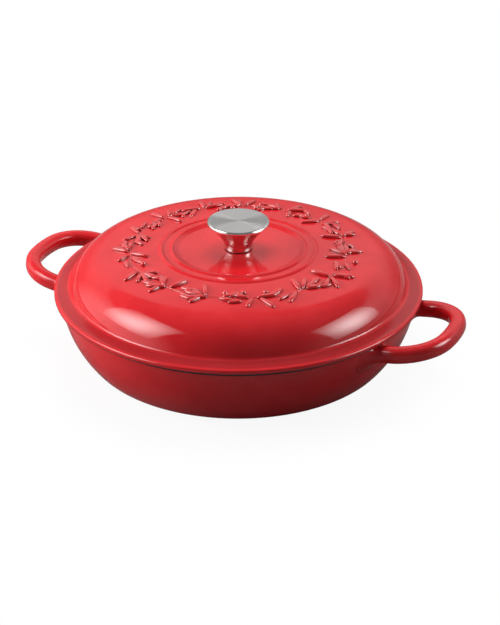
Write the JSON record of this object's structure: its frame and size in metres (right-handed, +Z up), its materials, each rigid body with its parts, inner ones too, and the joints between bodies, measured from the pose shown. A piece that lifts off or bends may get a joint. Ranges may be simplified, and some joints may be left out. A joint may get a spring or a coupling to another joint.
{
  "type": "braiser",
  "caption": "Shallow round enamelled cast-iron pan with loop handles and a domed lid with an embossed leaf wreath and a steel knob.",
  "frame": {"origin": "centre of the pan's foot ring, on the surface that it stands on", "axes": "+Z up through the knob, +X along the line of the two handles"},
  "size_m": [0.3952, 0.31, 0.1187],
  "materials": {
    "enamelled_iron": "glossy enamel",
    "brushed_steel": "circular brushed",
    "polished_steel": "polished",
    "plain_steel": "satin",
    "silicone": "matte"
  },
  "bodies": {
    "pan": {"pan": "enamelled_iron"},
    "lid": {"lid": "enamelled_iron", "knob_stem": "polished_steel", "knob_cap": "brushed_steel", "knob_insert": "plain_steel", "knob_gasket": "silicone", "lid_washer": "plain_steel", "knob_screw": "plain_steel"}
  },
  "joints": [
    {"name": "lid_lift", "type": "slide", "parent": "pan", "child": "lid", "axis": [0, 0, 1], "range_m": [0, 0.15]}
  ]
}
